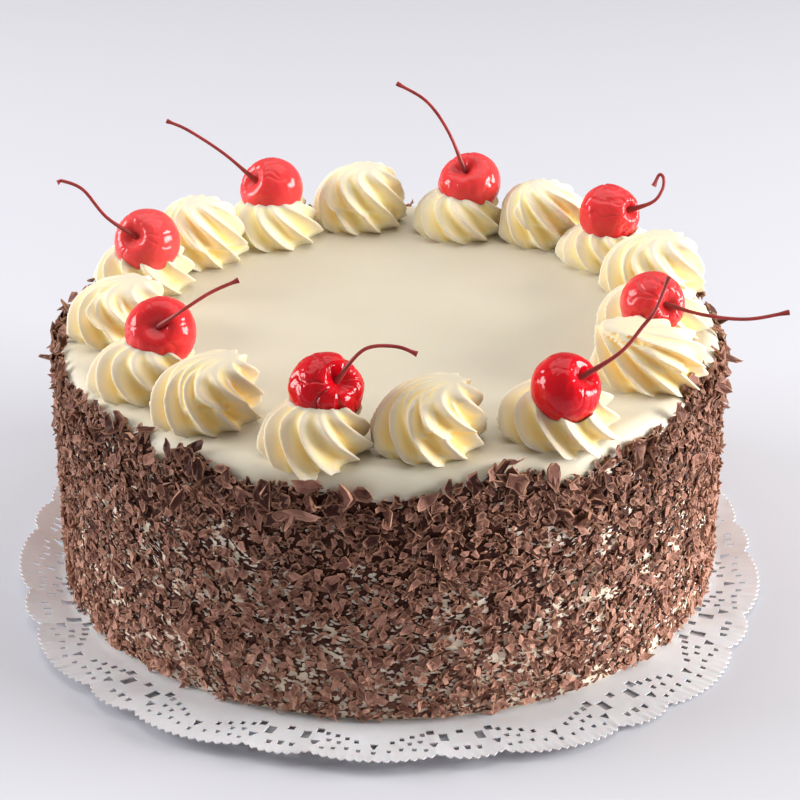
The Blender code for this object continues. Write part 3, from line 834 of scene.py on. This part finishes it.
swirl_rng = random.Random(5)
centres = [on_ring(angle, ring, CREAM_TOP - 0.3) for angle, ring, *_ in SWIRLS]
for index, (angle, ring, width, height, start, lean, lap, lift) in enumerate(SWIRLS):
    number = index + 1
    centre = centres[index]
    bm = bmesh.new()
    ridges = swirl_rng.choice((10, 11, 11))
    coil(bm, centre, ridges, width * 0.96, height * 0.94, start, 75, 0.31, lean)
    if lift > 5:
        coil(bm, centre, ridges - 1, width * 0.90, height, start + 180 / ridges, 80, 0.31, lean, lap, lift)
    bmesh.ops.recalc_face_normals(bm, faces=bm.faces[:])
    mesh = bpy.data.meshes.new("swirl")
    bm.to_mesh(mesh)
    bm.free()
    swirl = new_object(f"swirl_{number:02d}", mesh)
    fused = swirl.modifiers.new("fused", "REMESH")
    fused.mode = "VOXEL"
    fused.voxel_size = 0.42 * MM
    softened = swirl.modifiers.new("softened", "SMOOTH")
    softened.factor = 0.5
    softened.iterations = 3
    plain_mesh(swirl)
    seat = CHERRY_SEATS.get(number)
    beside = [centres[(index + step) % len(SWIRLS)] for step in (-1, 1)]
    for vertex in swirl.data.vertices:
        point = vertex.co / MM
        for other in beside:
            apart = other - centre
            apart.z = 0
            past = (point - centre).dot(apart) / apart.length_squared - 0.497
            if past > 0:
                point -= apart * past
        if seat:
            middle = on_ring(seat[0], seat[1], CREAM_TOP + seat[2])
            radius = seat[3] / 2 - 0.35
            across = math.hypot(point.x - middle.x, point.y - middle.y)
            away = (point - middle).length - radius
            if across > radius * 0.6 and away > -2:
                point.z += 0.7 * math.exp(-(away / 1.3) ** 2)
            if across < radius:
                below = middle.z - math.sqrt(radius ** 2 - across ** 2)
                point.z = min(point.z, below)
        away = math.hypot(point.x, point.y)
        if away > 107:
            point.z -= 0.035 * (away - 107) ** 2
        vertex.co = point * MM
    thinned = swirl.modifiers.new("thinned", "DECIMATE")
    thinned.ratio = 0.32
    plain_mesh(swirl)
    # how far each point lies in a groove, as the distance to a smoothed copy of the surface, which the cream's
    # painted shade follows
    count = len(swirl.data.vertices)
    points = np.empty(count * 3)
    swirl.data.vertices.foreach_get("co", points)
    points = points.reshape(-1, 3) / MM
    normals = np.array([vertex.normal for vertex in swirl.data.vertices])
    edges = np.array([edge.vertices for edge in swirl.data.edges])
    smooth = points.copy()
    valence = np.bincount(edges.ravel(), minlength=count)[:, None]
    for _ in range(14):
        smooth = np.stack([np.bincount(edges[:, 0], smooth[edges[:, 1], axis], count)
                           + np.bincount(edges[:, 1], smooth[edges[:, 0], axis], count) for axis in range(3)], axis=1) / valence
    hollow = np.clip(0.5 + ((smooth - points) * normals).sum(axis=1), 0, 1)
    swirl.data.attributes.new("hollow", "FLOAT", "POINT").data.foreach_set("value", hollow)
    swirl.data.materials.clear()
    swirl.data.materials.append(swirl_finish)
    swirl.data.shade_smooth()
    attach(swirl, "root")
    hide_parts(f"rosette_{number:02d}")

# ---------------------------------------------------------------------------
# The cherries. Eight candied cherries, soaked until they are bright red and
# glassy, some smooth and some drawn into wrinkles round the dimple that the
# stem grows from.

# number: (flatness, stem azimuth, stem elevation, wrinkle depth, narrowing at the stem end, notch, paleness)
FRUIT = {1: (0.92, -51, 42, 0.9, 0.0, 0.0, 0.0), 3: (0.95, -35, 44, 0.32, 0.0, 0.1, 0.1),
         5: (1.05, -60, 18, 0.75, 0.05, 0.2, 0.5), 7: (1.05, -43, 24, 0.6, 0.26, 0.0, 0.5),
         9: (0.88, -127, 61, 0.35, -0.05, 0.8, 0.6), 11: (0.98, -150, 33, 0.35, 0.0, 0.1, 0.6),
         13: (0.96, -120, 32, 0.35, 0.0, 0.2, 0.9), 15: (0.95, -95, 37, 0.25, 0.0, 0.3, 0.4)}

fruit_finish, fruit_surface, fruit_tree = shader(
    "candied_cherry", Roughness=0.45, Specular_IOR_Level=0.0, Subsurface_Weight=0.35,
    Subsurface_Radius=(1.0, 0.08, 0.06), Subsurface_Scale=2.5 * MM, Coat_Weight=0.85, Coat_Roughness=0.02, Coat_IOR=1.42)
# The paleness is higher on the whole for the cherries at the back of the cake: partly the fruit's own colour, partly
# painted light shining through them from behind.
paleness = place(fruit_tree, "ShaderNodeAttribute", dict(attribute_name="pale"))
mottle = place(fruit_tree, "ShaderNodeMath", dict(operation="MULTIPLY_ADD"))
mottle.inputs[1].default_value = 0.5
fruit_tree.links.new(grain(fruit_tree, 90, 3, 0.55), mottle.inputs[0])
fruit_tree.links.new(paleness.outputs["Fac"], mottle.inputs[2])
fruit_tree.links.new(
    ramp(fruit_tree, mottle.outputs[0], (0.1, (0.40, 0.0012, 0.005)), (0.4, (0.56, 0.003, 0.010)), (1.4, (0.70, 0.058, 0.058))),
    fruit_surface.inputs["Base Color"])
relief(fruit_tree, fruit_surface, grain(fruit_tree, 260, 3, 0.6), 0.25 * MM, 0.3)

for number, (flatness, azimuth, elevation, wrinkle, narrowing, notch, pale) in FRUIT.items():
    angle, ring, up, width = CHERRY_SEATS[number]
    centre = on_ring(angle, ring, CREAM_TOP + up)
    bm = bmesh.new()
    bmesh.ops.create_uvsphere(bm, u_segments=140, v_segments=84, radius=1.0)
    axis = Vector((math.cos(math.radians(elevation)) * math.cos(math.radians(azimuth)),
                   math.cos(math.radians(elevation)) * math.sin(math.radians(azimuth)),
                   math.sin(math.radians(elevation))))
    turn = axis.to_track_quat("Z", "Y")
    for vertex in bm.verts:
        p = vertex.co.copy()
        tip = math.acos(max(-1, min(1, p.z)))
        shape = Vector((p.x, p.y, p.z * flatness))
        shape.x *= 1 - narrowing * max(0, p.z)
        shape.y *= 1 - narrowing * max(0, p.z)
        shape.z -= 0.34 * math.exp(-(tip / 0.36) ** 2)
        around = math.atan2(p.y, p.x)
        shape.z -= notch * 0.10 * math.exp(-(tip / 0.9) ** 2) * (0.5 + 0.5 * math.cos(2 * around))
        # creases run out from the dimple like the folds of a raisin, with finer ones across them
        warp = 0.25 * noise.noise(p * 2.5 + Vector((0, number * 2.1, 0)))
        fold = Vector((1.7 * math.cos(around + warp), 1.7 * math.sin(around + warp), 0.55 * tip + number * 7.1))
        creases = max(0, 1 - abs(noise.noise(fold)) / 0.20) ** 1.5
        across = max(0, 1 - abs(noise.noise(p * 3.6 + Vector((number * 3.3, 1, 0)))) / 0.16) ** 1.5
        zone = math.exp(-((tip - 1.05) / 0.7) ** 2)
        drawn = wrinkle * (0.085 * creases * zone + 0.03 * across * zone + 0.04 * noise.noise(p * 2.2 + Vector((0, 0, number))))
        shape *= 1 - drawn + 0.02 * noise.noise(p * 0.9 + Vector((0, number * 5.7, 0)))
        vertex.co = (centre + turn @ (shape * width / 2)) * MM
    bmesh.ops.recalc_face_normals(bm, faces=bm.faces[:])
    mesh = bpy.data.meshes.new("fruit")
    bm.to_mesh(mesh)
    bm.free()
    fruit = new_object(f"fruit_{number:02d}", mesh, fruit_finish)
    tint = fruit.data.attributes.new("pale", "FLOAT", "POINT")
    tint.data.foreach_set("value", [pale] * len(fruit.data.vertices))
    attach(fruit, "root")
    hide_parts(f"cherry_{number:02d}")

# ---------------------------------------------------------------------------
# The stems. Each cherry keeps its own thin stem, dark red-brown from the
# syrup, a little thicker where it leaves the fruit and at its cut end.

STEM = 0.65
# number: points from the cherry's centre, in mm
STALKS = {1: ((9, -4, 13), (14, -3, 16), (22, -3, 16), (28, -4, 14)),
          3: ((16, -2, 13), (23, 2, 20), (27, 4, 25), (31, 8, 34)),
          5: ((16, -11, 0.5), (30, -11, -1), (44, -10, 1)),
          7: ((14, -6, 7), (17.5, -4, 11), (18, -2, 14.5), (16.5, -1, 15.5), (14.5, -3, 12)),
          9: ((-8, 0, 20), (-16, 5, 30), (-27, 8, 36)),
          11: ((-17, -2, 14.5), (-30, 2, 22), (-38, 4, 25)),
          13: ((-13, -7, 12), (-21, -3, 20.5), (-28, -1, 23), (-30, -1, 22.5)),
          15: ((8, -9, 11.5), (17, -6, 16.5), (26, -4, 20))}

stalk_finish, stalk_surface, stalk_tree = shader(
    "cherry_stem", Roughness=0.45, Specular_IOR_Level=0.25, Subsurface_Weight=0.15, Subsurface_Radius=(1.0, 0.3, 0.2),
    Subsurface_Scale=1 * MM, Coat_Weight=0.12, Coat_Roughness=0.25)
stalk_tree.links.new(
    ramp(stalk_tree, grain(stalk_tree, 160, 3, 0.6), (0.3, (0.20, 0.016, 0.018)), (0.7, (0.34, 0.040, 0.036))),
    stalk_surface.inputs["Base Color"])
relief(stalk_tree, stalk_surface, grain(stalk_tree, 900, 3, 0.6), 0.1 * MM, 0.4)


def through(points, steps):
    """A smooth line through the points."""
    line = []
    ends = [points[0] * 2 - points[1], *points, points[-1] * 2 - points[-2]]
    spans = len(points) - 1
    for step in range(steps):
        whole = step / (steps - 1) * spans
        i = min(int(whole), spans - 1)
        t = whole - i
        a, b, c, d = ends[i:i + 4]
        line.append(0.5 * (2 * b + (c - a) * t + (2 * a - 5 * b + 4 * c - d) * t * t
                           + (3 * b - a - 3 * c + d) * t ** 3))
    return line


for number, points in STALKS.items():
    angle, ring, up, width = CHERRY_SEATS[number]
    flatness, azimuth, elevation, *_ = FRUIT[number]
    centre = on_ring(angle, ring, CREAM_TOP + up)
    axis = Vector((math.cos(math.radians(elevation)) * math.cos(math.radians(azimuth)),
                   math.cos(math.radians(elevation)) * math.sin(math.radians(azimuth)),
                   math.sin(math.radians(elevation))))
    root = axis * ((flatness - 0.34) * width / 2 - 0.4)
    line = through([root] + [Vector(p) for p in points], 36)
    curve = bpy.data.curves.new("stalk", "CURVE")
    curve.dimensions = "3D"
    curve.bevel_depth = STEM * MM
    curve.bevel_resolution = 4
    curve.use_fill_caps = True
    spline = curve.splines.new("POLY")
    spline.points.add(len(line) - 1)
    for i, point in enumerate(line):
        share = i / (len(line) - 1)
        spline.points[i].co = (*((centre + point) * MM), 1)
        spline.points[i].radius = 0.92 + 0.75 * math.exp(-(share / 0.13) ** 2) + 0.55 * math.exp(-((1 - share) / 0.05) ** 2)
    holder = bpy.data.objects.new("stalk", curve)
    scene.collection.objects.link(holder)
    mesh = bpy.data.meshes.new_from_object(holder.evaluated_get(bpy.context.evaluated_depsgraph_get()))
    bpy.data.objects.remove(holder)
    bm = bmesh.new()
    bm.from_mesh(mesh)
    bmesh.ops.remove_doubles(bm, verts=bm.verts[:], dist=0.01 * MM)
    bmesh.ops.recalc_face_normals(bm, faces=bm.faces[:])
    bm.to_mesh(mesh)
    bm.free()
    stalk = new_object(f"stalk_{number:02d}", mesh, stalk_finish)
    stalk.data.set_sharp_from_angle(angle=math.radians(50))
    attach(stalk, "root")
    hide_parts(f"stem_{number:02d}")
